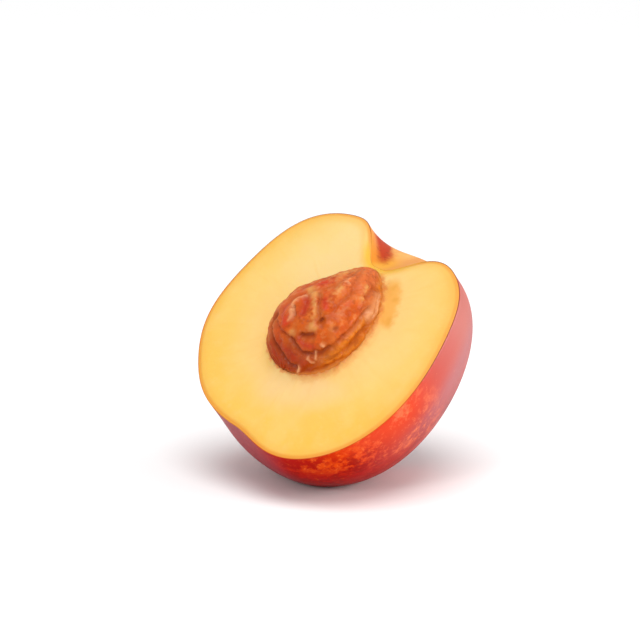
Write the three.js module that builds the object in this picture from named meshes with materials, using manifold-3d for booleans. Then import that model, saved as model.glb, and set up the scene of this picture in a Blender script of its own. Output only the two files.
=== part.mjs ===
// Half of a nectarine with its stone, standing on a small flat spot, cut face up and forward.
// Millimetres, +Z up. The origin is the centre of the flat spot.
//
// Fruit axes: X runs across the cut face from the suture side to the far side,
// Y is the cut face's outward normal, Z is the stem axis towards the stem.
// theta is the angle from the stem axis. phi turns about it: 0 is the far side,
// 90 is the middle of the cheek behind the cut, 180 is the suture side.
import * as THREE from 'three';
import { mergeVertices } from 'three/addons/utils/BufferGeometryUtils.js';
import Module from 'manifold-3d';

// How the half lies.
const FACE_LIFT = 47.9; // degrees, cut face's normal above level
const FACE_TURN = 32.3; // degrees, cut face turned from the front towards -X
const STEM_RISE = 70.5; // degrees, stem axis above level, in the cut face
const FRUIT_CENTRE = new THREE.Vector3(-2.7, -1.9, 35.5);

// The fruit's outline, as distances from the fruit's centre. Each bump is [rise, at, spread].
const CAVITY_FLOOR = 22.5; // to the bottom of the stem cavity
const BLOSSOM_DIMPLE = 30.2; // to the middle of the blossom end
const FAR_SIDE = { body: 32.5, shoulder: [5.3, 45, 26], haunch: [-1.2, 135, 22], cavity: [16.3, 3.5], dimple: 41 };
const SUTURE_SIDE = { body: 33.1, shoulder: [3.0, 39, 22], haunch: [3.8, 133, 38], cavity: [16.5, 2.7], dimple: 19 };
const CHEEK = { body: 35.4, shoulder: [3.2, 53, 35], haunch: [0, 135, 30], cavity: [12.6, 3.2], dimple: 26 };
const SWELL = { far: -1.0, suture: 1.0, within: 7 }; // of the cheek just behind the cut edge
const BELLY = { rise: 2.4, theta: 112, phi: 100, spread: 30 }; // fuller cheek over the flat spot

// The stone: half sizes of its outer shape and its place on the cut face.
const STONE_LENGTH = 16.8;
const STONE_WIDTH = 12.4;
const STONE_RISE = 9.2;
const STONE_TAPER = 0.25; // share by which the stem end narrows and the blossom end widens
const STONE_POINT = 1.05; // above 1 draws both ends out
const STONE_CENTRE = new THREE.Vector3(-0.3, 0, 4.4);
const BED_GAP = 0.3; // between the stone and its bed in the flesh

// The stone's furrows, each as points [along, turn]: along runs from -1 at the blossom end
// to 1 at the stem end, and turn is in degrees from the top of the dome, -90 at the keel.
const FURROWS = [
  { depth: 1.3, width: 0.9, path: [[0.86, -78], [0.47, -67], [0.29, -61], [-0.07, -55], [-0.47, -56], [-0.75, -60]] },
  { depth: 1.0, width: 0.7, path: [[0.5, -88], [0.19, -80], [-0.03, -70], [-0.28, -69], [-0.62, -72]] },
  { depth: 0.8, width: 0.7, path: [[-0.2, -82], [-0.43, -86], [-0.71, -82]] },
  { depth: 1.4, width: 1.1, path: [[-0.6, -6], [-0.55, -18], [-0.44, -27]] },
  { depth: 1.1, width: 0.9, path: [[-0.78, -8], [-0.77, -26], [-0.7, -40], [-0.5, -50]] },
  { depth: 1.3, width: 0.8, path: [[-0.7, 30], [-0.83, 14], [-0.89, -10], [-0.9, -40]] },
  { depth: 1.0, width: 0.8, path: [[-0.86, 62], [-0.95, 30], [-0.97, -20], [-0.94, -60]] },
  { depth: 1.0, width: 0.8, path: [[0.04, 0], [-0.12, -10], [-0.24, -21]] },
  { depth: 0.9, width: 0.8, path: [[-0.3, 30], [-0.38, 16], [-0.3, 8]] },
  { depth: 0.8, width: 0.9, path: [[0.62, 20], [0.36, 34], [0.1, 48], [-0.2, 58]] },
  { depth: 0.8, width: 0.9, path: [[0.7, -30], [0.46, -26], [0.2, -36]] },
  { depth: 0.9, width: 0.9, path: [[0.8, 80], [0.4, 76], [0, 80], [-0.45, 78]] },
];
const RIPPLE = { depth: 0.45, around: 7, winding: 2.2, along: 4.2 }; // shallow winding furrows between them

const FRUIT_GRID = { around: 76, along: 50, crowding: 1.25 }; // rows crowd towards the stem cavity
const STONE_GRID = { around: 56, along: 44 };
const BED_GRID = { around: 44, along: 26 };
const BLOCK = 120; // side of the blocks that make the cut face and the flat spot

const { degToRad, radToDeg } = THREE.MathUtils;
const wasm = await Module();
wasm.setup();

function bump(angle, [rise, at, spread]) {
  return rise * Math.exp(-(((angle - at) / spread) ** 2));
}

function outline(side, theta) {
  const body = side.body + bump(theta, side.shoulder) + bump(theta, side.haunch);
  const [cavityWidth, cavityPower] = side.cavity;
  const cavity = (CAVITY_FLOOR - body) * Math.exp(-((theta / cavityWidth) ** cavityPower));
  const dimple = bump(theta, [BLOSSOM_DIMPLE - body, 180, side.dimple]);
  return body + cavity + dimple;
}

// Distance from the fruit's centre to its skin.
function fruitRadius(theta, phi) {
  const across = Math.cos(degToRad(phi));
  const back = Math.sin(degToRad(phi));
  const far = outline(FAR_SIDE, theta);
  const suture = outline(SUTURE_SIDE, theta);
  const edge = (far + suture) / 2 + ((far - suture) / 2) * across;
  const radius = edge * across ** 2 + outline(CHEEK, theta) * back ** 2;

  const behindCut = radius * Math.sin(degToRad(theta)) * back;
  const offEdge = 1 - Math.exp(-((behindCut / SWELL.within) ** 2));
  const swell = SWELL.far + ((SWELL.suture - SWELL.far) * (1 - across)) / 2;
  const toBelly = direction(theta, phi).angleTo(direction(BELLY.theta, BELLY.phi));
  return radius + offEdge * (swell + bump(radToDeg(toBelly), [BELLY.rise, 0, BELLY.spread]));
}

function direction(theta, phi) {
  const lean = Math.sin(degToRad(theta));
  return new THREE.Vector3(
    lean * Math.cos(degToRad(phi)),
    -lean * Math.sin(degToRad(phi)),
    Math.cos(degToRad(theta)),
  );
}

// A closed sphere grid with its poles on Z, whose points the function place then moves.
function shapedSphere(around, along, place) {
  const sphere = new THREE.SphereGeometry(1, around, along);
  sphere.rotateX(Math.PI / 2);
  sphere.deleteAttribute('normal');
  sphere.deleteAttribute('uv');
  const geometry = mergeVertices(sphere);
  const position = geometry.getAttribute('position');
  const point = new THREE.Vector3();
  for (let i = 0; i < position.count; i += 1) {
    point.fromBufferAttribute(position, i).normalize();
    place(point);
    position.setXYZ(i, point.x, point.y, point.z);
  }
  return geometry;
}

// The whole fruit, before it is halved.
function wholeFruit() {
  return shapedSphere(FRUIT_GRID.around, FRUIT_GRID.along, (point) => {
    const theta = 180 * (Math.acos(point.z) / Math.PI) ** FRUIT_GRID.crowding;
    const phi = Math.abs(radToDeg(Math.atan2(point.y, point.x)));
    const side = point.y > 0 ? -1 : 1;
    point.copy(direction(theta, phi)).multiplyScalar(fruitRadius(theta, phi));
    point.y *= side;
  });
}

// A point on the stone's outer shape, grown outwards by extra.
function stonePoint(along, turn, extra = 0) {
  const t = Math.sign(along) * Math.abs(along) ** STONE_POINT;
  const slim = Math.sqrt(1 - along ** 2) ** STONE_POINT * (1 - STONE_TAPER * t);
  return new THREE.Vector3(
    slim * (STONE_WIDTH + extra) * Math.sin(degToRad(turn)),
    slim * (STONE_RISE + extra) * Math.cos(degToRad(turn)),
    t * (STONE_LENGTH + extra),
  );
}

// Each furrow as straight pieces over the dome, with its twin on the side sunk in the flesh.
function furrowPieces() {
  const pieces = [];
  for (const { depth, width, path } of FURROWS) {
    const points = path.map(([along, turn]) => stonePoint(along, turn));
    for (let i = 1; i < points.length; i += 1) {
      const line = new THREE.Line3(points[i - 1], points[i]);
      const twin = line.clone();
      twin.start.y *= -1;
      twin.end.y *= -1;
      pieces.push({ depth, width, line }, { depth, width, line: twin });
    }
  }
  return pieces;
}

function furrowDepth(pieces, point, along, turn) {
  const nearest = new THREE.Vector3();
  let deepest = 0;
  for (const { depth, width, line } of pieces) {
    line.closestPointToPoint(point, true, nearest);
    const away = nearest.distanceTo(point) / width;
    deepest = Math.max(deepest, depth * Math.exp(-(away ** 2)));
  }
  const wave = Math.sin(RIPPLE.around * degToRad(turn) + RIPPLE.winding * Math.sin(RIPPLE.along * along));
  const ripple = RIPPLE.depth * wave ** 4;
  return Math.max(deepest, ripple);
}

function stoneShape() {
  const pieces = furrowPieces();
  return shapedSphere(STONE_GRID.around, STONE_GRID.along, (point) => {
    const along = point.z;
    const turn = radToDeg(Math.atan2(point.x, point.y));
    point.copy(stonePoint(along, turn));
    const depth = furrowDepth(pieces, point, along, turn);
    point.setLength(point.length() - depth);
  });
}

function bedShape() {
  return shapedSphere(BED_GRID.around, BED_GRID.along, (point) => {
    const turn = radToDeg(Math.atan2(point.x, point.y));
    point.copy(stonePoint(point.z, turn, BED_GAP));
  });
}

// From fruit axes to the frame that the half stands in.
function standingPose() {
  const turn = degToRad(FACE_TURN);
  const lift = degToRad(FACE_LIFT);
  const rise = degToRad(STEM_RISE);
  const normal = new THREE.Vector3(
    -Math.sin(turn) * Math.cos(lift),
    -Math.cos(turn) * Math.cos(lift),
    Math.sin(lift),
  );
  const level = new THREE.Vector3(Math.cos(turn), -Math.sin(turn), 0);
  const uphill = new THREE.Vector3().crossVectors(normal, level);
  const stem = level.multiplyScalar(Math.cos(rise)).addScaledVector(uphill, Math.sin(rise));
  const across = new THREE.Vector3().crossVectors(normal, stem);
  return new THREE.Matrix4().makeBasis(across, normal, stem).setPosition(FRUIT_CENTRE);
}

function block(x, y, z) {
  const box = new THREE.BoxGeometry(BLOCK, BLOCK, BLOCK);
  box.translate(x, y, z);
  box.deleteAttribute('normal');
  box.deleteAttribute('uv');
  return mergeVertices(box);
}

function solid(geometry) {
  return new wasm.Manifold(new wasm.Mesh({
    numProp: 3,
    vertProperties: new Float32Array(geometry.getAttribute('position').array),
    triVerts: new Uint32Array(geometry.index.array),
  }));
}

function geometryOf(manifold) {
  const { vertProperties, triVerts } = manifold.getMesh();
  const geometry = new THREE.BufferGeometry();
  geometry.setAttribute('position', new THREE.BufferAttribute(vertProperties, 3));
  geometry.setIndex(new THREE.BufferAttribute(triVerts, 1));
  geometry.computeVertexNormals();
  return geometry;
}

const pose = standingPose();
const bedPlace = new THREE.Matrix4().setPosition(STONE_CENTRE);

// Skin and flesh grew as one, so the half is one solid: cut in half, hollowed for the stone,
// and flattened where it rests.
function halfFruit() {
  const fruit = solid(wholeFruit().applyMatrix4(pose));
  const cutAway = solid(block(0, BLOCK / 2, 0).applyMatrix4(pose));
  const bed = solid(bedShape().applyMatrix4(bedPlace).applyMatrix4(pose));
  const floor = solid(block(0, 0, -BLOCK / 2));
  const flesh = new THREE.MeshStandardMaterial({ color: '#f4c768', roughness: 0.42, metalness: 0 });
  const mesh = new THREE.Mesh(geometryOf(fruit.subtract(cutAway).subtract(bed).subtract(floor)), flesh);
  mesh.name = 'half_fruit';
  return mesh;
}

function stone() {
  const shell = new THREE.MeshStandardMaterial({ color: '#a8502f', roughness: 0.4, metalness: 0 });
  const mesh = new THREE.Mesh(stoneShape().applyMatrix4(bedPlace).applyMatrix4(pose), shell);
  mesh.geometry.computeVertexNormals();
  mesh.name = 'stone';
  return mesh;
}

const nectarine = new THREE.Group();
nectarine.name = 'nectarine_half';
nectarine.add(halfFruit(), stone());

export default nectarine;
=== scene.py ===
"""Half of a nectarine with its stone, standing cut face up and forward on a small flat spot.

The pieces are modelled in fruit axes, in millimetres, and then stood in place in metres.
Fruit axes: X runs across the cut face from the suture side to the far side, Y is the cut
face's outward normal, Z is the stem axis. theta is the angle from the stem axis. phi turns
about it: 0 is the far side, 90 is the cheek behind the cut, 180 is the suture side.
"""
import math
import bpy
import numpy as np
from mathutils import Matrix, Vector, noise


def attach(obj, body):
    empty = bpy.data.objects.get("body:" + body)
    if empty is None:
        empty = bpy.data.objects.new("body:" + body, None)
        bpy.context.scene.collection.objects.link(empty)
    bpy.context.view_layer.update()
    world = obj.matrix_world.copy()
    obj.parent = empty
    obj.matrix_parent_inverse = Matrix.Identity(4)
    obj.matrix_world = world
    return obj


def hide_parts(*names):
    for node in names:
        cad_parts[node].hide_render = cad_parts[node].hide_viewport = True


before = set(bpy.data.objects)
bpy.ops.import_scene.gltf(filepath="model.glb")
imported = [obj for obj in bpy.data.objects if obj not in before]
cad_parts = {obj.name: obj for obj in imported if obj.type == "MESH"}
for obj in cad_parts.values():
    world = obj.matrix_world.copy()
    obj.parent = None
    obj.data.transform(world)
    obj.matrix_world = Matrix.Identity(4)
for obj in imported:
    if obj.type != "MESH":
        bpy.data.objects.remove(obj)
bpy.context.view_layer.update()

MM = 0.001

# How the half lies.
FACE_LIFT = 47.9  # degrees, cut face's normal above level
FACE_TURN = 32.3  # degrees, cut face turned from the front towards -X
STEM_RISE = 70.5  # degrees, stem axis above level, in the cut face
FRUIT_CENTRE = (-2.7, -1.9, 35.5)

# The fruit's outline, as distances from its centre. Shoulder and haunch are bumps: (rise, at, spread).
# cavity is the stem cavity's width, in degrees, and how square it is.
CAVITY_FLOOR = 22.5
BLOSSOM_DIMPLE = 30.2
FAR_SIDE = {
    "body": 32.5, "shoulder": (5.3, 45, 26), "haunch": (-1.2, 135, 22), "cavity": (16.3, 3.5), "dimple": 41}
SUTURE_SIDE = {
    "body": 33.1, "shoulder": (3.0, 39, 22), "haunch": (3.8, 133, 38), "cavity": (16.5, 2.7), "dimple": 19}
CHEEK = {
    "body": 35.4, "shoulder": (3.2, 53, 35), "haunch": (0, 135, 30), "cavity": (12.6, 3.2), "dimple": 26}
SWELL = {"far": -1.0, "suture": 1.0, "within": 7}  # how much fuller each side is just behind the cut
BELLY = {"rise": 2.4, "theta": 112, "phi": 100, "spread": 30}  # the cheek is fuller over the flat spot
ROW_CROWDING = 1.25  # rows of the skin crowd towards the stem cavity
PRESSED_EDGE = 0.5  # how softly the flat spot runs into the cheek

# The stone's half sizes and its place on the cut face.
STONE_LENGTH = 16.8
STONE_WIDTH = 12.4
STONE_RISE = 9.2
STONE_TAPER = 0.25  # share by which it is slimmer at the stem end and fuller at the blossom end
STONE_POINT = 1.05  # at 1 its ends are round, and above 1 they are pointed
STONE_CENTRE = (-0.3, 0, 4.4)
STONE_CROWDING = 0.45  # share by which the stone's columns crowd onto the side that shows

# Marks on the stone: rise or depth, half width, and points (along, turn). along runs from -1 at
# the blossom end to 1 at the stem end. turn is in degrees from the top of the dome, -90 at the
# keel on the suture side.
FURROWS = [
    (1.0, 0.75, [(-0.52, -30), (-0.57, -25), (-0.60, -19)]),
    (0.5, 0.6, [(0.10, 1), (0.0, -7), (-0.12, -12), (-0.25, -22)]),
    (1.0, 0.7, [(-0.25, -26), (-0.28, -26)]),
    (0.7, 0.7, [(-0.22, -46), (-0.25, -46)]),
    (0.25, 1.0, [(0.17, -41), (0.12, -38)]),
    (0.45, 0.9, [(-0.06, 10), (-0.20, 3), (-0.33, -3)]),
    # This furrow also carries a painted shadow line under the pale ridge beside it.
    (0.8, 0.45, [(-0.31, 15), (-0.38, 9), (-0.42, 5)]),
    (0.6, 0.6, [(0.38, -66), (0.25, -64), (0.05, -62), (-0.2, -60), (-0.45, -60), (-0.6, -58)]),
    (0.9, 0.8, [(-0.5, -58), (-0.62, -57), (-0.68, -50)]),
    (0.9, 0.6, [(-0.68, -54), (-0.73, -46), (-0.765, -38), (-0.76, -26), (-0.73, -15), (-0.71, -8)]),
    (0.6, 0.6, [(-0.71, -8), (-0.70, 4), (-0.66, 18), (-0.6, 30)]),
    (1.0, 0.6, [
        (-0.92, -56), (-0.94, -40), (-0.93, -15), (-0.905, 3), (-0.87, 18), (-0.8, 33), (-0.7, 42)]),
    (0.55, 0.7, [(0.2, -82), (0.1, -76), (-0.02, -73), (-0.15, -76), (-0.32, -77)]),
    (0.5, 0.8, [(-0.42, -84), (-0.55, -82), (-0.66, -80), (-0.8, -84)]),
    (0.5, 0.7, [(0.85, -88), (0.6, -89), (0.42, -91), (0.24, -91), (0.21, -80), (0.22, -70)]),
    (1.0, 0.8, [(-0.5, 38), (-0.58, 44), (-0.66, 46)]),
    (0.5, 0.8, [(0.74, -60), (0.6, -55), (0.48, -52)]),
    (0.4, 0.7, [(0.86, 8), (0.72, -2), (0.6, -3)]),
    (0.45, 0.7, [(0.45, -28), (0.3, -30), (0.1, -27), (-0.05, -30)]),
    (0.8, 0.9, [(0.62, 60), (0.36, 54), (0.1, 58), (-0.2, 64)]),
    (0.9, 0.9, [(0.8, 90), (0.4, 84), (0, 88), (-0.45, 84)]),
]
# The broad dent on the far side of the dome.
DENT = (1.0, 3.2, [(0.78, 40), (0.6, 42), (0.45, 44)])
RIDGES = [
    (0.35, 1.4, [(0.07, 16), (0.06, 8), (0.02, 3)]),
    (0.3, 1.0, [(0.05, 4), (-0.06, -3), (-0.18, -11), (-0.28, -15), (-0.36, -19), (-0.42, -24)]),
    (0.3, 1.0, [(0.42, -11), (0.28, -14), (0.14, -18)]),
    (0.3, 0.6, [(0.42, -48), (0.52, -46), (0.64, -42)]),
    (0.15, 0.9, [(-0.62, -5), (-0.68, -9)]),
    (0.15, 1.5, [(0.74, 12), (0.6, 18), (0.5, 14)]),
    (0.25, 0.7, [(-0.38, -28), (-0.43, -27)]),
]
KEEL_BANDS = [
    (0.45, 0.7, [(0.2, -69), (-0.13, -67), (-0.35, -67), (-0.6, -67)]),
    (0.35, 0.6, [(0.0, -84), (-0.3, -81), (-0.4, -80)]),
    (0.3, 0.7, [(0.8, -72), (0.72, -78), (0.66, -84)]),
    (0.3, 0.6, [(-0.45, -76), (-0.62, -73)]),
]
# Pale strands of flesh that still cling, and painted wet highlights on the dome.
STRANDS_AND_GLINTS = [
    (0.4, 1.1, [(0.64, -75), (0.5, -73), (0.36, -72), (0.28, -74)]),
    (0.4, 0.8, [(0.6, -83), (0.46, -82), (0.36, -80)]),
    # Painted wet highlights on the dome: along a ridge, beside it, and in short dashes near the stem end.
    (0.45, 0.5, [(-0.07, 13), (-0.16, 17), (-0.25, 18), (-0.31, 17)]),
    (0.35, 0.6, [(-0.36, 14), (-0.42, 10), (-0.48, 7)]),
    (0.35, 0.35, [(0.48, -18), (0.49, -13), (0.47, -10)]),
    (0.3, 0.3, [(0.57, -10), (0.53, -10)]),
    (0.35, 0.35, [(-0.53, -51), (-0.54, -48)]),
    (0.4, 0.33, [(-0.66, -51), (-0.69, -56), (-0.71, -59)]),
    (0.35, 0.3, [(-0.75, -63), (-0.77, -60), (-0.765, -51)]),
    (0.5, 0.45, [(-0.90, -58), (-0.94, -80)]),
]
# Where the shell is reddest: half width and points.
RED_PLACES = [
    (1.2, [(-0.05, 10), (-0.2, 2), (-0.33, -3)]),
    (1.4, [(0.4, 10), (0.25, 13)]),
    (1.3, [(-0.36, 30), (-0.48, 22), (-0.55, 10)]),
    (0.9, [(-0.64, -42), (-0.67, -30), (-0.66, -20)]),
    (0.9, [(-0.86, -30), (-0.86, -5), (-0.82, 14)]),
    (0.9, [(-0.97, -60), (-0.96, 0), (-0.86, 40)]),
    (0.8, [(0.05, -12), (-0.08, -20)]),
]
DEEP_FURROW = 0.8  # furrows deeper than this get painted shade round them, which darkens the shell
SHADE_SPREAD = 2.4  # how much wider the painted shade is than its furrow
RIPPLE = {"depth": 0.25, "around": 7, "winding": 2.2, "along": 4.2}  # shallow furrows in between
FURROW_FULL = 1.1  # furrows this deep are darkest
WANDER = {"reach": 0.25, "size": 2.6}  # how far the marks stray from their drawn lines
LUMPS = [(0.3, 3.2, 7, 3), (0.13, 1.4, 9, 2)]  # height, size, seed and octaves
GRAIN = {"height": 0.03, "size": 0.5, "squeeze": 0.4}  # drawn out along the stone
KEEL = {"from": 55, "spread": 15}  # degrees from the top of the dome, where its colour sets in
CUT_BAND = 10  # degrees each side of the cut face, where furrows and lumps fade

BED_GAP = 0.05  # between the stone's outer shape and its bed
CLING = 0.2  # how far the stone swells at the cut face, where the flesh clings to it
RIM_DROP = (0.3, 0.9)  # rounding of the cut edge, how deep: by the skin, and in the stem cavity
RIM_WIDTH = (0.35, 1.1)  # and how wide
NOTCH = {"reach": 30, "blend": 1.5}  # how far from the fruit's centre the stem cavity's cut edge reaches
FACE_WAVE = {"height": 0.22, "size": 9.0, "fade": 2.5}  # slow waves of the cut face, none at the skin
LIP = {"width": 0.9, "rise": 0.4, "tear": 0.45}  # torn lip of flesh by the stone
ROW_SPREAD = 0.75  # share by which the cut face's rows crowd towards skin and stone

# How finely the pieces are divided.
RINGS = 200
SKIN_SEGMENTS = 256
BED_SEGMENTS = 96
FACE_CUTS = 32
STONE_SEGMENTS = 320
STONE_RINGS = 216

ON_PLANE = 1e-6  # points nearer the cut plane than this lie on it
OFF_THE_FACE = 99.0  # stands for a distance on the cut face, at points that aren't on it

CREAM_CENTRE = (10.0, 0.0, 20.0)  # the palest flesh, above the stone
STREAK_SHIFT = 7.3  # sets which part of the noise the skin's streaks are cut from

VIEW_CENTRE = (-1.9, -3.0, 38.8)  # the point in the middle of the picture
VIEW_DISTANCE = 600
VIEW_ANGLE = 13  # degrees that the camera looks down
LENS = 141.75

# The studio, in metres and degrees. The floor is white paper.
ROOM_LIGHT = 0.54
OVERHEAD = {"from": (0.0, -0.25, 1.0), "strength": 1.61, "spread": 45}
SOFTBOXES = {
    "right_side": {"place": (0.5, -0.05, 0.12), "size": (0.5, 0.25), "watts": 2.0},
    "left_front": {"place": (-0.45, -0.6, 0.35), "size": (0.16, 0.16), "watts": 1.1},
}
LIT_POINT = (0, 0, 0.03)
FLOOR_SIZE = 8
PAPER_WHITE = 0.965


# ---------------------------------------------------------------- camera, lights and floor

def add_camera():
    angle = math.radians(VIEW_ANGLE)
    back = Vector((0, -math.cos(angle), math.sin(angle)))
    camera = bpy.data.cameras.new("camera")
    camera.lens = LENS
    camera.sensor_width = 36
    camera.clip_start = 0.05
    holder = bpy.data.objects.new("camera", camera)
    holder.location = (Vector(VIEW_CENTRE) + VIEW_DISTANCE * back) * MM
    holder.rotation_euler = (math.radians(90) - angle, 0, 0)
    bpy.context.collection.objects.link(holder)
    bpy.context.scene.camera = holder


def add_overhead():
    lamp = bpy.data.lights.new("overhead", "SUN")
    lamp.energy = OVERHEAD["strength"]
    lamp.angle = math.radians(OVERHEAD["spread"])
    holder = bpy.data.objects.new("overhead", lamp)
    holder.rotation_euler = Vector(OVERHEAD["from"]).to_track_quat("Z", "Y").to_euler()
    bpy.context.collection.objects.link(holder)


def add_softbox(name, place, size, watts):
    lamp = bpy.data.lights.new(name, "AREA")
    lamp.shape = "RECTANGLE"
    lamp.size, lamp.size_y = size
    lamp.energy = watts
    holder = bpy.data.objects.new(name, lamp)
    holder.location = place
    holder.rotation_euler = (Vector(LIT_POINT) - Vector(place)).to_track_quat("-Z", "Y").to_euler()
    bpy.context.collection.objects.link(holder)


def add_studio():
    """White paper under a broad overhead lamp, with a wide softbox at the right and a fill at the left."""
    scene = bpy.context.scene
    scene.view_settings.view_transform = "Standard"
    world = bpy.data.worlds.new("white studio")
    world.use_nodes = True
    world.node_tree.nodes["Background"].inputs["Color"].default_value = (1, 1, 1, 1)
    world.node_tree.nodes["Background"].inputs["Strength"].default_value = ROOM_LIGHT
    scene.world = world
    add_overhead()
    for name, softbox in SOFTBOXES.items():
        add_softbox(name, **softbox)

    bpy.ops.object.select_all(action="DESELECT")
    bpy.ops.mesh.primitive_plane_add(size=FLOOR_SIZE)
    floor = bpy.context.object
    floor.name = "floor"
    paper = bpy.data.materials.new("white paper")
    paper.use_nodes = True
    surface = paper.node_tree.nodes["Principled BSDF"]
    surface.inputs["Base Color"].default_value = (PAPER_WHITE, PAPER_WHITE, PAPER_WHITE, 1)
    surface.inputs["Roughness"].default_value = 0.9
    surface.inputs["Specular IOR Level"].default_value = 0.1
    floor.data.materials.append(paper)


# ---------------------------------------------------------------- node helpers

def colour(text):
    """A colour written as '#rrggbb', as the linear values that sockets take."""
    values = [int(text[i:i + 2], 16) / 255 for i in (1, 3, 5)]
    linear = [v / 12.92 if v <= 0.04045 else ((v + 0.055) / 1.055) ** 2.4 for v in values]
    return (*linear, 1.0)


class Nodes:
    """Adds nodes to a tree. An input is a socket to link, a value or '#rrggbb' to set, or None to leave."""

    def __init__(self, tree):
        self.tree = tree

    def add(self, kind, *inputs, **settings):
        made = self.tree.nodes.new("ShaderNode" + kind)
        for name, value in settings.items():
            setattr(made, name, value)
        for socket, value in zip(made.inputs, inputs):
            self.feed(socket, value)
        return made

    def feed(self, socket, value):
        if isinstance(value, bpy.types.NodeSocket):
            self.tree.links.new(value, socket)
        elif value is not None:
            socket.default_value = colour(value) if isinstance(value, str) else value

    def math(self, operation, *inputs):
        return self.add("Math", *inputs, operation=operation).outputs[0]

    def vector(self, operation, *inputs):
        return self.add("VectorMath", *inputs, operation=operation).outputs[0]

    def scaled(self, vector, factor):
        made = self.add("VectorMath", vector, operation="SCALE")
        self.feed(made.inputs["Scale"], factor)
        return made.outputs[0]

    def length(self, vector):
        return self.add("VectorMath", vector, operation="LENGTH").outputs["Value"]

    def between(self, value, low, high):
        """0 where value is low, 1 where it is high, and a soft step between."""
        made = self.add("MapRange", value, low, high, 0.0, 1.0)
        made.interpolation_type = "SMOOTHSTEP"
        return made.outputs[0]

    def times(self, value, factor):
        return self.math("MULTIPLY", value, factor)

    def sway(self, value, width):
        """Noise as a distance to and fro, over the given width."""
        return self.times(self.math("SUBTRACT", value, 0.5), width)

    def all_of(self, *masks):
        """Where every mask holds. A plain number weakens the result."""
        share = masks[0]
        for mask in masks[1:]:
            share = self.times(share, mask)
        return share

    def mix(self, factor, first, second):
        made = self.add("Mix", data_type="RGBA")
        self.feed(made.inputs["Factor"], factor)
        self.feed(made.inputs[6], first)
        self.feed(made.inputs[7], second)
        return made.outputs[2]

    def paint(self, tone, layer, *masks):
        """The tone with a layer of colour over it, where every mask holds."""
        return self.mix(self.all_of(*masks), tone, layer)

    def ramp(self, value, stops):
        made = self.add("ValToRGB", value)
        elements = made.color_ramp.elements
        while len(elements) < len(stops):
            elements.new(1.0)
        for element, (place, tone) in zip(elements, stops):
            element.position = place
            element.color = colour(tone)
        return made.outputs[0]

    def noise(self, vector, scale, detail=2.0, rough=0.5):
        made = self.add("TexNoise", vector)
        made.inputs["Scale"].default_value = scale
        made.inputs["Detail"].default_value = detail
        made.inputs["Roughness"].default_value = rough
        return made.outputs[0]

    def attribute(self, name):
        return self.add("Attribute", attribute_name=name).outputs["Fac"]

    def group(self, tree):
        made = self.add("Group")
        made.node_tree = tree
        return made.outputs[0]


def new_material(name):
    material = bpy.data.materials.new(name)
    material.use_nodes = True
    shader = material.node_tree.nodes["Principled BSDF"]
    return material, Nodes(material.node_tree), shader


def set_finish(shader, values):
    for name, value in values.items():
        shader.inputs[name].default_value = value


def add_relief(nodes, shader, height, strength, depth):
    """Relief too fine for the mesh, with its depth in millimetres."""
    bump = nodes.add("Bump")
    bump.inputs["Strength"].default_value = strength
    bump.inputs["Distance"].default_value = depth * MM
    nodes.feed(bump.inputs["Height"], height)
    nodes.feed(shader.inputs["Normal"], bump.outputs[0])


def fruit_axes_group():
    """Object coordinates turned into fruit axes, in millimetres."""
    tree = bpy.data.node_groups.new("fruit axes", "ShaderNodeTree")
    tree.interface.new_socket("Place", in_out="OUTPUT", socket_type="NodeSocketVector")
    nodes = Nodes(tree)
    leave = tree.nodes.new("NodeGroupOutput")
    pose = standing_pose()
    turned = nodes.add("Mapping", nodes.add("TexCoord").outputs["Object"], vector_type="TEXTURE")
    turned.inputs["Location"].default_value = pose.translation * MM
    turned.inputs["Rotation"].default_value = pose.to_euler("XYZ")
    turned.inputs["Scale"].default_value = (MM, MM, MM)
    nodes.feed(leave.inputs["Place"], turned.outputs[0])
    return tree


# ---------------------------------------------------------------- shapes

def bump(angle, rise, at, spread):
    return rise * np.exp(-(((angle - at) / spread) ** 2))


def outline(side, theta):
    body = side["body"] + bump(theta, *side["shoulder"]) + bump(theta, *side["haunch"])
    width, power = side["cavity"]
    cavity = (CAVITY_FLOOR - body) * np.exp(-((theta / width) ** power))
    return body + cavity + bump(theta, BLOSSOM_DIMPLE - body, 180, side["dimple"])


def direction(theta, phi):
    theta, phi = np.radians(theta), np.radians(phi)
    return np.stack([np.sin(theta) * np.cos(phi), -np.sin(theta) * np.sin(phi), np.cos(theta)], axis=-1)


def fruit_radius(theta, phi):
    """Distance from the fruit's centre to its skin."""
    across, back = np.cos(np.radians(phi)), np.sin(np.radians(phi))
    far, suture = outline(FAR_SIDE, theta), outline(SUTURE_SIDE, theta)
    edge = (far + suture) / 2 + (far - suture) / 2 * across
    radius = edge * across ** 2 + outline(CHEEK, theta) * back ** 2

    behind_cut = radius * np.sin(np.radians(theta)) * back
    off_edge = 1 - np.exp(-((behind_cut / SWELL["within"]) ** 2))
    swell = SWELL["far"] + (SWELL["suture"] - SWELL["far"]) * (1 - across) / 2
    to_belly = np.degrees(np.arccos(np.clip(
        direction(theta, phi) @ direction(BELLY["theta"], BELLY["phi"]), -1, 1)))
    return radius + off_edge * (swell + bump(to_belly, BELLY["rise"], 0, BELLY["spread"]))


def on_cut_plane(points):
    """Factors that leave a point as it is, or put one of the cut plane's own exactly on it."""
    factors = np.ones_like(points)
    factors[np.abs(points[:, 1]) < ON_PLANE, 1] = 0
    return factors


def fruit_surface(points):
    """Points of a unit sphere, moved onto the skin."""
    theta = 180 * (np.arccos(np.clip(points[:, 2], -1, 1)) / math.pi) ** ROW_CROWDING
    phi = np.abs(np.degrees(np.arctan2(points[:, 1], points[:, 0])))
    placed = direction(theta, phi) * fruit_radius(theta, phi)[:, None]
    placed[:, 1] *= np.where(points[:, 1] > 0, -1, 1)
    return placed * on_cut_plane(points)


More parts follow.
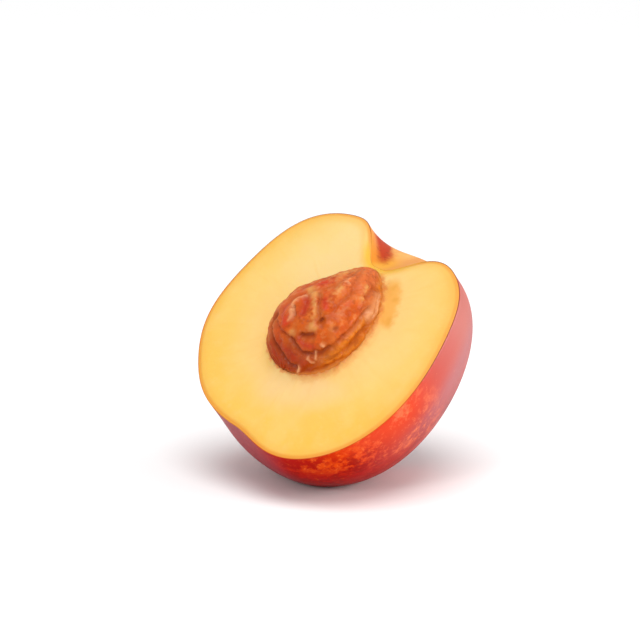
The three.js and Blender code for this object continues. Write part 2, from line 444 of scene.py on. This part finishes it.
def stone_surface(along, turn, extra=0.0):
    """Points on the stone's outer shape, grown outwards by extra."""
    t = np.sign(along) * np.abs(along) ** STONE_POINT
    slim = np.sqrt(np.clip(1 - along ** 2, 0, 1)) ** STONE_POINT * (1 - STONE_TAPER * t)
    turn = np.radians(turn)
    return np.stack([
        slim * (STONE_WIDTH + extra) * np.sin(turn),
        slim * (STONE_RISE + extra) * np.cos(turn),
        t * (STONE_LENGTH + extra),
    ], axis=-1)


def standing_pose():
    """From fruit axes to the frame that the half stands in, in millimetres."""
    turn, lift, rise = (math.radians(a) for a in (FACE_TURN, FACE_LIFT, STEM_RISE))
    normal = Vector((-math.sin(turn) * math.cos(lift), -math.cos(turn) * math.cos(lift), math.sin(lift)))
    level = Vector((math.cos(turn), -math.sin(turn), 0))
    uphill = normal.cross(level)
    stem = level * math.cos(rise) + uphill * math.sin(rise)
    across = normal.cross(stem)
    pose = Matrix((across, normal, stem)).transposed().to_4x4()
    pose.translation = FRUIT_CENTRE
    return pose


def noise_at(points, size, seed, octaves=2):
    """Smooth random values, about -1 to 1, in lumps of the given size."""
    shift = Vector((seed * 17.3, seed * 5.7, seed * 11.9))
    return np.array([
        noise.fractal(Vector(p) / size + shift, 1.0, 2.0, octaves) for p in points
    ])


def distance_to_path(points, path):
    """Distance from each point to a line through the points of path."""
    nearest = np.full(len(points), np.inf)
    for start, end in zip(path[:-1], path[1:]):
        run = end - start
        share = np.clip((points - start) @ run / max(run @ run, 1e-9), 0, 1)
        away = np.linalg.norm(points - start - share[:, None] * run, axis=1)
        nearest = np.minimum(nearest, away)
    return nearest


# ---------------------------------------------------------------- mesh helpers

def add_sphere(name, segments, rings):
    bpy.ops.object.select_all(action="DESELECT")
    bpy.ops.mesh.primitive_uv_sphere_add(segments=segments, ring_count=rings, radius=1)
    piece = bpy.context.object
    piece.name = piece.data.name = name
    return piece


def points_of(piece):
    flat = np.empty(3 * len(piece.data.vertices))
    piece.data.vertices.foreach_get("co", flat)
    return flat.reshape(-1, 3)


def set_points(piece, points):
    piece.data.vertices.foreach_set("co", points.astype(np.float32).ravel())
    piece.data.update()


def set_attribute(piece, name, values):
    layer = piece.data.attributes.new(name, "FLOAT", "POINT")
    layer.data.foreach_set("value", values.astype(np.float32))


def has_material(piece, index):
    """Which of the piece's points belong to a face with the given material."""
    chosen = np.zeros(len(piece.data.vertices), dtype=bool)
    for face in piece.data.polygons:
        if face.material_index == index:
            chosen[list(face.vertices)] = True
    return chosen


def select_only(piece):
    bpy.ops.object.select_all(action="DESELECT")
    bpy.context.view_layer.objects.active = piece
    piece.select_set(True)


def edit(piece):
    select_only(piece)
    bpy.ops.object.mode_set(mode="EDIT")
    bpy.ops.mesh.select_mode(type="EDGE")


def leave_edit():
    bpy.ops.object.mode_set(mode="OBJECT")


def halve(piece):
    """Cuts away what stands in front of the cut face and leaves the edge open."""
    edit(piece)
    bpy.ops.mesh.select_all(action="SELECT")
    bpy.ops.mesh.bisect(plane_co=(0, 0, 0), plane_no=(0, 1, 0), clear_outer=True, threshold=ON_PLANE)
    leave_edit()


def stand(piece):
    """Moves a finished piece from fruit axes into the frame, and presses it flat on the floor."""
    pose = np.array(standing_pose())
    points = points_of(piece) @ pose[:3, :3].T + pose[:3, 3]
    soft = np.clip(points[:, 2], -PRESSED_EDGE, PRESSED_EDGE)
    pressed = (soft + PRESSED_EDGE) ** 2 / (4 * PRESSED_EDGE)
    points[:, 2] = np.where(points[:, 2] < PRESSED_EDGE, pressed, points[:, 2])
    set_points(piece, points * MM)


# ---------------------------------------------------------------- the half fruit

def cut_sides():
    """The skin's cut edge: the points of its far side and of its suture side, stem end first."""
    steps = 180 * (np.arange(RINGS + 1) / RINGS) ** ROW_CROWDING
    return [
        direction(steps, np.full_like(steps, phi)) * fruit_radius(steps, np.full_like(steps, phi))[:, None]
        for phi in (0.0, 180.0)
    ]


def bed_sides():
    """The bed's edge on the cut face: its far side and its suture side, stem end first."""
    along = np.cos(np.linspace(0, math.pi, RINGS + 1))
    return [
        stone_surface(along, np.full_like(along, turn), BED_GAP) + np.array(STONE_CENTRE)
        for turn in (90.0, -90.0)
    ]


def polar_at_stone(points):
    """Angle from the stem end, plus towards the far side, and distance, seen from the stone's centre."""
    away = points - np.array(STONE_CENTRE)
    return np.arctan2(away[:, 0], away[:, 2]), np.hypot(away[:, 0], away[:, 2])


def model_bed(flesh):
    """The hollow that holds the stone, its rows lined up with the skin's."""
    bed = add_sphere("bed", BED_SEGMENTS, RINGS)
    bed.data.materials.append(flesh)
    ball = points_of(bed)
    row = np.rint(np.arccos(np.clip(ball[:, 2], -1, 1)) / math.pi * RINGS).astype(int)
    turn = np.degrees(np.arctan2(ball[:, 0], ball[:, 1]))
    fine = np.cos(np.linspace(0, math.pi, 4001))
    edge = stone_surface(fine, np.full_like(fine, 90), BED_GAP) + np.array(STONE_CENTRE)
    edge_angle = polar_at_stone(edge)[0]
    alongs = []
    for side, sign in zip(cut_sides(), (1, -1)):
        angle = np.unwrap(sign * polar_at_stone(side)[0])
        whole = (angle - angle[0]) / (angle[-1] - angle[0]) * math.pi
        alongs.append(np.interp(whole, edge_angle, fine))
    far_along, suture_along = alongs
    to_far = (1 + np.sin(np.radians(turn))) / 2
    along = far_along[row] * to_far + suture_along[row] * (1 - to_far)
    hollow = stone_surface(along, turn, BED_GAP)
    set_points(bed, hollow * on_cut_plane(ball) + np.array(STONE_CENTRE))
    halve(bed)
    edit(bed)
    bpy.ops.mesh.select_all(action="SELECT")
    bpy.ops.mesh.flip_normals()
    leave_edit()
    return bed


def add_cut_face(half, bed):
    """Joins skin and bed and bridges their open edges with the cut face."""
    select_only(half)
    bed.select_set(True)
    bpy.ops.object.join()
    edit(half)
    bpy.ops.mesh.select_all(action="DESELECT")
    bpy.ops.mesh.select_non_manifold(
        use_wire=False, use_boundary=True, use_multi_face=False, use_non_contiguous=False, use_verts=False)
    bpy.ops.mesh.bridge_edge_loops(number_cuts=FACE_CUTS, interpolation="LINEAR")
    half.active_material_index = 1
    bpy.ops.object.material_slot_assign()
    leave_edit()


def spread_rows(points, rim_sides, bed_edges):
    """Crowds the cut face's rows towards the skin and towards the stone."""
    angle, reach = polar_at_stone(points)
    inner, outer = np.empty_like(reach), np.empty_like(reach)
    for side, sign in enumerate((1, -1)):
        chosen = sign * angle >= 0
        for edges, bound in ((bed_edges, inner), (rim_sides, outer)):
            edge_angle, edge_reach = polar_at_stone(edges[side])
            bound[chosen] = np.interp(sign * angle[chosen], np.unwrap(sign * edge_angle), edge_reach)
    share = np.clip((reach - inner) / np.maximum(outer - inner, 1e-6), 0, 1)
    crowded = share - ROW_SPREAD * np.sin(2 * math.pi * share) / (2 * math.pi)
    scale = (inner + crowded * (outer - inner)) / np.maximum(reach, 1e-6)
    centre = np.array(STONE_CENTRE)
    return centre + (points - centre) * scale[:, None]


def model_half(skin, flesh):
    """Skin, cut face and the stone's bed, grown as one and closed all round."""
    half = add_sphere("nectarine_half", SKIN_SEGMENTS, RINGS)
    half.data.materials.append(skin)
    half.data.materials.append(flesh)
    set_points(half, fruit_surface(points_of(half)))
    halve(half)
    add_cut_face(half, model_bed(flesh))

    rim_sides, bed_edges = cut_sides(), bed_sides()
    rim = np.concatenate([rim_sides[0], rim_sides[1][::-1]])
    bed_edge = np.concatenate([bed_edges[0], bed_edges[1][::-1]])
    points = points_of(half)
    on_face = np.abs(points[:, 1]) < ON_PLANE
    behind_rim = np.where(has_material(half, 0) & ~on_face, -points[:, 1], np.inf)
    face = spread_rows(points[on_face], rim_sides, bed_edges)
    near_rim = distance_to_path(face, rim)
    near_stone = distance_to_path(face, bed_edge)

    # The edge by the skin is rounded, the face waves a little, and the flesh by the stone is torn.
    in_notch = 1 / (1 + np.exp((np.linalg.norm(points, axis=1) - NOTCH["reach"]) / NOTCH["blend"]))
    drop, width = (plain + (notch - plain) * in_notch for plain, notch in (RIM_DROP, RIM_WIDTH))
    points[:, 1] -= drop * np.exp(-((behind_rim / width) ** 2))
    waves = FACE_WAVE["height"] * noise_at(face, FACE_WAVE["size"], 3)
    waves *= 1 - np.exp(-((near_rim / FACE_WAVE["fade"]) ** 2))
    torn = 0.6 * noise_at(face, 1.1, 5) + 0.4 * noise_at(face, 0.5, 6)
    lip = np.exp(-((near_stone / LIP["width"]) ** 2)) * (LIP["rise"] + LIP["tear"] * torn)
    face[:, 1] = -drop[on_face] * np.exp(-((near_rim / width[on_face]) ** 2)) + waves + lip
    points[on_face] = face
    set_points(half, points)

    from_rim, from_stone = np.full(len(points), OFF_THE_FACE), np.zeros(len(points))
    from_rim[on_face], from_stone[on_face] = near_rim, near_stone
    set_attribute(half, "from_rim", from_rim)
    set_attribute(half, "from_stone", from_stone)
    finish(half)
    return half


def finish(piece):
    """Shades the piece smooth and stands it in its place."""
    select_only(piece)
    bpy.ops.object.shade_smooth()
    stand(piece)


# ---------------------------------------------------------------- the stone

def marks_on_stone(points, marks):
    """The strongest of the marks at each point, as height, and as a share from 0 to 1."""
    height, share = np.zeros(len(points)), np.zeros(len(points))
    for rise, width, path in marks:
        path = np.array(path)
        away = distance_to_path(points, stone_surface(path[:, 0], path[:, 1]))
        strength = np.exp(-((away / width) ** 2))
        height = np.maximum(height, rise * strength)
        share = np.maximum(share, strength)
    return height, share


def model_stone(shell):
    """The furrowed stone, with what its material needs to know kept as attributes of its points."""
    stone = add_sphere("nectarine_stone", STONE_SEGMENTS, STONE_RINGS)
    stone.data.materials.append(shell)
    ball = points_of(stone)
    along = ball[:, 2]
    turn = np.arctan2(ball[:, 0], ball[:, 1])
    turn = np.degrees(turn - STONE_CROWDING * np.sin(turn))
    shape = stone_surface(along, turn)

    stray = np.stack([noise_at(shape, WANDER["size"], seed) for seed in (1, 2, 3)], axis=-1)
    strayed = shape + WANDER["reach"] * stray
    furrow = marks_on_stone(strayed, FURROWS)[0]
    dent = marks_on_stone(shape, [DENT])[0]
    ridge, ridge_share = marks_on_stone(strayed, RIDGES)
    band, band_share = marks_on_stone(strayed, KEEL_BANDS)
    strand_and_glint, strand_and_glint_share = marks_on_stone(strayed, STRANDS_AND_GLINTS)
    red_share = marks_on_stone(strayed, [(1, width, path) for width, path in RED_PLACES])[1]
    deep = [(1, SHADE_SPREAD * width, path) for rise, width, path in FURROWS if rise > DEEP_FURROW]
    painted_shade_share = marks_on_stone(strayed, deep)[1]
    wave = np.sin(RIPPLE["around"] * np.radians(turn)
                  + RIPPLE["winding"] * np.sin(RIPPLE["along"] * along) + 0.8 * noise_at(shape, 5.0, 4))
    ripple = RIPPLE["depth"] * wave ** 4
    at_cut = np.exp(-(((np.abs(turn) - 90) / CUT_BAND) ** 2))
    depth = np.maximum(furrow, ripple) * (1 - 0.85 * at_cut)
    lumps = sum(height * noise_at(shape, size, seed, octaves) for height, size, seed, octaves in LUMPS)
    lumps = lumps * (1 - 0.7 * at_cut) + CLING * at_cut
    grain = GRAIN["height"] * noise_at(shape * np.array([1, 1, GRAIN["squeeze"]]), GRAIN["size"], 8, 3)
    reach = np.linalg.norm(shape, axis=1)
    raised = reach - depth - dent + ridge + band + strand_and_glint + lumps + grain
    set_points(stone, shape * (raised / reach)[:, None] + np.array(STONE_CENTRE))

    shares = {
        "groove": np.clip(depth / FURROW_FULL, 0, 1),
        "painted_shade": painted_shade_share,
        "tan": ridge_share,
        "red": red_share,
        "pale": strand_and_glint_share,
        "band": band_share,
        "keel": np.clip((np.abs(turn) - KEEL["from"]) / KEEL["spread"], 0, 1),
        "along": along,
    }
    for name, values in shares.items():
        set_attribute(stone, name, values)
    finish(stone)
    return stone


# ---------------------------------------------------------------- the skin's material

class OnSkin:
    """Where a point is on the skin, in fruit axes, for the layers to read."""

    def __init__(self, nodes, axes):
        self.nodes = nodes
        self.place = nodes.group(axes)
        self.x, self.y, self.z = nodes.add("SeparateXYZ", self.place).outputs
        self.behind_cut = nodes.times(self.y, -1.0)
        self.from_centre = nodes.length(self.place)
        self.theta = nodes.math("ARCCOSINE", nodes.math("DIVIDE", self.z, self.from_centre))
        level = nodes.add("CombineXYZ", self.x, self.y, 0.0).outputs[0]
        self.round_stem = nodes.vector("NORMALIZE", level)

    def streaks(self, scale, stretch, detail=3.0):
        """Noise drawn out from the stem towards the blossom end."""
        drawn = self.nodes.times(self.theta, stretch)
        lengthways = self.nodes.add("CombineXYZ", STREAK_SHIFT, 0.0, drawn).outputs[0]
        return self.nodes.noise(self.nodes.vector("ADD", self.round_stem, lengthways), scale, detail)


def paint_crimson(nodes, on):
    """Crimson, burgundy in blotches and redder in long streaks."""
    blotch = nodes.between(nodes.noise(on.place, 0.06, 3.0, 0.55), 0.36, 0.64)
    tone = nodes.mix(blotch, "#600814", "#921018")
    return nodes.paint(tone, "#b82420", nodes.between(on.streaks(5.0, 0.35), 0.42, 0.75), 0.75)


def find_suture_side(nodes, on):
    """The suture side, even by the cut and streaky further back."""
    streaky = nodes.between(on.streaks(3.2, 0.5), 0.36, 0.7)
    even = nodes.math("MAXIMUM", nodes.between(on.behind_cut, 24.0, 10.0), streaky)
    return nodes.all_of(nodes.between(on.x, -13.0, -24.0), even)


def paint_suture_side(nodes, on, tone, suture_side):
    """Brighter red, a painted pink sheen towards the stem and a painted lavender sheen behind the cut, both
    standing for reflected light. Red at the blossom end.
    """
    near_cut = nodes.between(on.behind_cut, 28.0, 14.0)
    tone = nodes.paint(tone, "#be3a24", suture_side, 0.85)
    # Painted pink sheen towards the stem: reflected light from the white room at a grazing view.
    tone = nodes.paint(tone, "#ae5042", suture_side, near_cut, nodes.between(on.z, 6.0, 24.0), 0.8)
    # Painted lavender sheen just behind the cut, where the skin is seen at a grazing angle.
    painted_sheen = nodes.all_of(nodes.between(on.behind_cut, 5.0, 12.0), nodes.between(on.z, -14.0, 0.0))
    tone = nodes.paint(tone, "#984a52", suture_side, near_cut, painted_sheen, 0.6)
    return nodes.paint(tone, "#ac0c04", nodes.between(on.z, -6.0, -21.0), 0.9)


def paint_mottle(nodes, on, tone):
    """Clusters of orange and of dark crimson on the suture side's lower half, most orange by the cut."""
    cluster = nodes.times(nodes.noise(on.place, 0.13, 2.0), 0.45)
    speckle = nodes.times(nodes.noise(on.place, 0.6, 4.0, 0.66), 0.6)
    mottle = nodes.math("ADD", cluster, speckle)
    low = nodes.all_of(nodes.between(on.z, 10.0, -6.0), nodes.between(on.x, 4.0, -10.0))
    edge = nodes.all_of(nodes.between(on.behind_cut, 12.0, 2.0), nodes.between(on.z, -29.0, -20.0))
    tone = nodes.paint(tone, "#e03c06", edge, low, 0.8)

    far_below = nodes.math("SUBTRACT", on.behind_cut, nodes.times(on.z, 0.5))
    light = nodes.all_of(nodes.between(mottle, 0.49, 0.66), low, nodes.between(far_below, 23.0, 16.0))
    orange = nodes.mix(nodes.between(on.z, -22.0, -6.0), "#e4520e", "#e0683e")
    tone = nodes.paint(tone, orange, light, 0.8)
    spots = nodes.between(nodes.noise(on.place, 1.3, 3.0, 0.6), 0.52, 0.66)
    tone = nodes.paint(tone, "#f08040", light, spots, 0.5)

    dark = nodes.all_of(nodes.between(mottle, 0.56, 0.46), nodes.between(on.behind_cut, 0.5, 6.0))
    return nodes.paint(tone, "#8a0806", dark, nodes.between(on.z, -9.0, -22.0), 0.7)


def paint_flecks(nodes, on, tone):
    """Fine pale flecks, many below and few above."""
    fleck = nodes.noise(nodes.vector("MULTIPLY", on.place, (1.0, 1.0, 0.7)), 1.1, 4.0, 0.6)
    level = nodes.math("SUBTRACT", 0.68, nodes.times(nodes.between(on.z, 16.0, -12.0), 0.1))
    flecks = nodes.between(fleck, level, nodes.math("ADD", level, 0.18))
    pale = nodes.mix(nodes.between(on.z, 0.0, -20.0), "#f08a62", "#e87430")
    return nodes.paint(tone, pale, flecks, 0.45)


def paint_cavity(nodes, on, tone):
    """Gold in the stem cavity, running out over the shoulders in tongues, but not at the suture."""
    degrees = nodes.times(on.theta, 180 / math.pi)
    tongue = nodes.all_of(
        nodes.between(on.streaks(2.6, 0.12, 2.0), 0.47, 0.74), nodes.between(on.x, -12.0, 0.0))
    fray = nodes.sway(on.streaks(9.0, 0.6), 11.0)
    gold_end = nodes.math("ADD", nodes.times(tongue, 48.0), nodes.math("ADD", fray, 24.0))
    inside = nodes.math("SUBTRACT", gold_end, degrees)
    gold = nodes.mix(nodes.noise(on.place, 0.22, 3.0), "#df8a22", "#f0b862")
    gold = nodes.paint(gold, "#e6a224", nodes.between(on.z, 29.5, 26.0))
    by_cut = nodes.between(on.behind_cut, 3.4, 1.2)
    gold = nodes.paint(gold, "#e08618", by_cut, nodes.between(on.x, 2.0, 4.0))
    gold = nodes.paint(gold, "#e08a34", nodes.between(on.x, 2.0, -1.5), 0.55)
    tone = nodes.paint(tone, "#c93c14", nodes.between(inside, -14.0, 8.0))
    return nodes.paint(tone, gold, nodes.between(inside, -6.0, 12.0))


def find_blush(nodes, on):
    """A red blush on the stem cavity's far wall, with an uneven edge."""
    warp = nodes.sway(nodes.noise(on.place, 0.45, 3.0), 3.5)
    slant = nodes.math("ADD", nodes.math("ADD", on.behind_cut, nodes.times(on.x, -0.4)), warp)
    across = nodes.math("ADD", on.x, warp)
    return nodes.all_of(
        nodes.between(slant, 5.2, 3.2),
        nodes.between(on.behind_cut, 1.2, 3.8),
        nodes.between(across, 0.5, 4.4),
        nodes.between(on.from_centre, 38.0, 32.0),
        nodes.between(on.z, 19.0, 24.0),
    )


def skin_material(axes):
    """Glossy crimson skin with painted pink and lavender sheen on the suture side, golden in the stem
    cavity, flecked below.
    """
    material, nodes, shader = new_material("nectarine skin")
    on = OnSkin(nodes, axes)
    suture_side, blush = find_suture_side(nodes, on), find_blush(nodes, on)
    tip = nodes.all_of(nodes.between(on.x, -19.0, -12.0), nodes.between(on.z, -22.0, -29.0))

    tone = paint_crimson(nodes, on)
    tone = paint_suture_side(nodes, on, tone, suture_side)
    tone = paint_mottle(nodes, on, tone)
    # Purplish at the blossom end: darker crimson with a painted lavender sheen, standing for reflected
    # light, in it.
    tone = nodes.paint(tone, "#9a2a36", tip, 0.8)
    tone = paint_flecks(nodes, on, tone)
    tone = paint_cavity(nodes, on, tone)
    tone = nodes.paint(tone, "#ae2602", blush, 0.95)
    brown_marks = nodes.between(nodes.noise(on.place, 0.9, 2.0), 0.54, 0.66)
    tone = nodes.paint(tone, "#8e3008", blush, brown_marks, 0.5)
    cells = nodes.add("TexVoronoi", on.place, feature="F1")
    cells.inputs["Scale"].default_value = 0.38
    pores = nodes.between(cells.outputs["Distance"], 0.1, 0.04)
    tone = nodes.paint(tone, "#e58a50", pores, 0.2)
    nodes.feed(shader.inputs["Base Color"], tone)

    # Glossy above, on the far side and at the tip, and dull where it is mottled. Less at a grazing view.
    glossy = nodes.between(on.z, -14.0, 14.0)
    for mask in (
        nodes.all_of(tip, nodes.between(on.x, -14.0, -4.0), 0.8),
        nodes.all_of(suture_side, nodes.between(on.z, -24.0, -14.0), 0.35),
        nodes.all_of(nodes.between(on.x, 4.0, 14.0), 0.5),
    ):
        glossy = nodes.math("MAXIMUM", glossy, mask)
    face_on = nodes.between(nodes.add("LayerWeight", 0.5).outputs["Facing"], 1.0, 0.5)
    no_blush = nodes.math("SUBTRACT", 1.0, nodes.all_of(blush, 0.4))
    nodes.feed(shader.inputs["Coat Weight"], nodes.all_of(glossy, face_on, no_blush))
    set_finish(shader, {
        "Roughness": 0.3,
        "Specular IOR Level": 0.012,
        "Coat Roughness": 0.25,
        "Subsurface Weight": 0.04,
        "Subsurface Radius": (1.0, 0.3, 0.15),
        "Subsurface Scale": 1 * MM,
    })
    add_relief(nodes, shader, nodes.noise(on.place, 1.6, 3.0), strength=0.12, depth=0.2)
    return material


# ---------------------------------------------------------------- the flesh's material

def paint_flesh(nodes, place, from_stone, fibres, grain):
    """Golden, deeper towards the blossom end, cream above the stone and pale below it."""
    x, _, z = nodes.add("SeparateXYZ", place).outputs
    cloud = nodes.noise(place, 0.12, 3.0)
    tone = nodes.ramp(nodes.math("DIVIDE", from_stone, 20.0), [
        (0.0, "#ecbc6a"), (0.1, "#ecc274"), (0.25, "#edc578"), (0.5, "#edc774"), (0.75, "#ecc46a"),
        (1.0, "#e9b954")])
    deep = nodes.all_of(nodes.between(z, 3.0, -20.0), nodes.between(from_stone, 3.0, 13.0))
    tone = nodes.paint(tone, "#ebbb4c", deep, 0.7)
    to_cream = nodes.length(nodes.vector("SUBTRACT", place, CREAM_CENTRE))
    ragged = nodes.math("ADD", to_cream, nodes.sway(cloud, 12.0))
    tone = nodes.paint(tone, "#eecf8c", nodes.between(ragged, 22.0, 4.0), 0.9)
    below = nodes.all_of(nodes.between(z, -7.0, -11.0), nodes.between(from_stone, 13.0, 4.0))
    tone = nodes.paint(tone, "#eac386", below, nodes.between(x, 5.0, -2.0), 0.8)
    tone = nodes.paint(tone, "#efcc80", nodes.between(cloud, 0.4, 0.64), 0.3)
    tone = nodes.paint(tone, "#e8b858", nodes.between(fibres, 0.5, 0.75), 0.2)
    return nodes.paint(tone, "#f0d08c", nodes.between(grain, 0.5, 0.7), 0.12)


def stain_flesh(nodes, place, tone, from_stone, grain):
    """Juice by the stone: a line all round, a wider band on the suture side and a blot by the stem end,
    with a painted orange glow below the stone.
    """
    x, _, z = nodes.add("SeparateXYZ", place).outputs
    ragged = nodes.math("ADD", from_stone, nodes.sway(grain, 3.0))
    width = nodes.math("ADD", 0.15, nodes.times(nodes.between(x, 3.0, -9.0), 3.0))
    tone = nodes.paint(tone, "#e0964a", nodes.between(ragged, width, 0.0), 0.75)
    # Below the stone a narrow orange band: juice, with a painted glow of light thrown back from the stone.
    tone = nodes.paint(tone, "#e48c50", nodes.between(ragged, 0.8, 0.1), nodes.between(z, 4.0, -6.0), 0.7)
    blot = nodes.all_of(
        nodes.between(x, -5.0, -8.5), nodes.between(z, 8.5, 11.0), nodes.between(z, 23.0, 20.0),
        nodes.between(ragged, 6.0, 3.6))
    tone = nodes.paint(tone, "#eaa648", blot, 0.85)
    spots = nodes.between(nodes.noise(place, 0.22, 2.0), 0.45, 0.65)
    tone = nodes.paint(tone, "#dc9a38", blot, spots, 0.55)
    line = nodes.all_of(nodes.between(ragged, 1.7, 0.4), nodes.between(x, 0.0, -6.0))
    return nodes.paint(tone, "#cd7023", line, nodes.between(z, 2.0, 7.0), 0.75)


def edge_flesh(nodes, place, tone, from_rim):
    """Deeper orange under the skin, yellow round the stem cavity, then the cut skin itself."""
    from_centre = nodes.length(place)
    z = nodes.add("SeparateXYZ", place).outputs[2]
    tone = nodes.paint(tone, "#eab24e", nodes.between(from_rim, 3.6, 1.2), 0.5)
    tone = nodes.paint(tone, "#e09434", nodes.between(from_rim, 1.4, 0.4), 0.85)
    by_cavity = nodes.all_of(nodes.between(from_rim, 2.8, 0.6), nodes.between(from_centre, 29.5, 25.0))
    tone = nodes.paint(tone, "#e7b038", by_cavity, 0.9)
    cut_skin = nodes.mix(nodes.between(z, 6.0, -4.0), "#7c2810", "#c4480c")
    cut_skin = nodes.paint(cut_skin, "#d0902c", nodes.between(from_centre, 33.0, 29.0))
    return nodes.paint(tone, cut_skin, nodes.between(from_rim, 0.26, 0.08))


def flesh_material(axes):
    """Ripe golden flesh with fibres that run out from the stone."""
    material, nodes, shader = new_material("nectarine flesh")
    place = nodes.group(axes)
    from_rim, from_stone = nodes.attribute("from_rim"), nodes.attribute("from_stone")
    away = nodes.vector("SUBTRACT", place, STONE_CENTRE)
    outwards = nodes.vector("NORMALIZE", nodes.vector("MULTIPLY", away, (1.25, 0.0, 1.0)))
    along_fibres = nodes.vector("ADD", nodes.scaled(outwards, 6.0), nodes.scaled(away, 0.06))
    fibres = nodes.noise(along_fibres, 1.6, 3.0, 0.55)
    grain = nodes.noise(place, 0.5, 4.0, 0.6)

    tone = paint_flesh(nodes, place, from_stone, fibres, grain)
    tone = stain_flesh(nodes, place, tone, from_stone, grain)
    tone = edge_flesh(nodes, place, tone, from_rim)
    nodes.feed(shader.inputs["Base Color"], tone)
    set_finish(shader, {
        "Roughness": 0.45,
        "Specular IOR Level": 0.2,
        "Subsurface Weight": 0.25,
        "Subsurface Radius": (1.0, 0.55, 0.2),
        "Subsurface Scale": 2 * MM,
    })
    height = nodes.math("ADD", fibres, nodes.noise(place, 0.9, 3.0))
    add_relief(nodes, shader, height, strength=0.2, depth=0.3)
    return material


# ---------------------------------------------------------------- the stone's material

def stone_material(axes):
    """Wet brown-orange shell: dark in its furrows, with painted shade in and round them, tan on its ridges,
    orange at its keels.
    """
    material, nodes, shader = new_material("nectarine stone")
    place = nodes.group(axes)
    x, y, _ = nodes.add("SeparateXYZ", place).outputs
    along = nodes.attribute("along")

    # The shell, paler at the stem end and on the far side, darker at the blossom end.
    mottle = nodes.noise(place, 0.28, 2.5, 0.5)
    dapple = nodes.noise(place, 0.5, 3.0, 0.55)
    tone = nodes.ramp(mottle, [(0.3, "#b84806"), (0.5, "#ca5810"), (0.7, "#d26a28")])
    tone = nodes.paint(tone, "#cf4c1a", nodes.between(nodes.noise(place, 0.16, 2.0), 0.48, 0.6), 0.5)
    tone = nodes.paint(tone, "#d47038", nodes.between(along, 0.1, 0.7), 0.65)
    tone = nodes.paint(tone, "#c6341c", nodes.attribute("red"), 0.85)
    tone = nodes.paint(tone, "#c05e0a", nodes.attribute("keel"), 0.85)
    tone = nodes.paint(tone, "#dc7c1c", nodes.attribute("band"), 0.75)
    tone = nodes.paint(tone, "#8c3a10", nodes.between(dapple, 0.47, 0.33), 0.4)
    tone = nodes.paint(tone, "#e08c50", nodes.between(dapple, 0.53, 0.7), 0.4)
    tone = nodes.paint(tone, "#da8050", nodes.between(x, 1.0, 8.0), 0.3)
    tone = nodes.paint(tone, "#9c2a02", nodes.between(along, -0.62, -0.92), 0.85)

    # Its ridges, furrows and clinging strands with painted wet highlights among them, and the flesh left
    # low down on the suture side.
    frayed = nodes.between(nodes.noise(place, 0.5, 3.0), 0.32, 0.62)
    tone = nodes.paint(tone, "#d6924e", nodes.attribute("tan"), frayed, 0.9)
    # Painted shade round the deepest furrows.
    tone = nodes.paint(tone, "#9a4a12", nodes.attribute("painted_shade"), 0.42)
    # Furrows darker the deeper they are: their own dark colour, with painted shade in them.
    furrow = nodes.mix(nodes.attribute("keel"), "#862a04", "#ac520a")
    tone = nodes.paint(tone, furrow, nodes.attribute("groove"), 0.9)
    less_frayed = nodes.math("MAXIMUM", frayed, 0.65)
    # Pale marks: strands of flesh, and painted wet highlights on the dome's ridges.
    tone = nodes.paint(tone, "#e6a270", nodes.attribute("pale"), less_frayed, 0.9)
    tone = nodes.paint(tone, "#e08c3c", nodes.between(y, 1.4, 0.3), nodes.between(x, 4.0, -6.0), 0.75)
    nodes.feed(shader.inputs["Base Color"], tone)
    set_finish(shader, {
        "Roughness": 0.4,
        "Specular IOR Level": 0.12,
        "Coat Weight": 0.1,
        "Coat Roughness": 0.12,
        "Subsurface Weight": 0.08,
        "Subsurface Radius": (1.0, 0.4, 0.15),
        "Subsurface Scale": 1 * MM,
    })
    stretched = nodes.vector("MULTIPLY", place, (1.0, 1.0, 0.3))
    add_relief(nodes, shader, nodes.noise(stretched, 1.4, 3.0, 0.55), strength=0.15, depth=0.3)
    return material


# ---------------------------------------------------------------- the whole scene

def main():
    add_camera()
    add_studio()
    axes = fruit_axes_group()
    half = model_half(skin_material(axes), flesh_material(axes))
    stone = model_stone(stone_material(axes))

    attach(half, "root")
    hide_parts("half_fruit")
    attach(stone, "root")
    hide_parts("stone")


main()
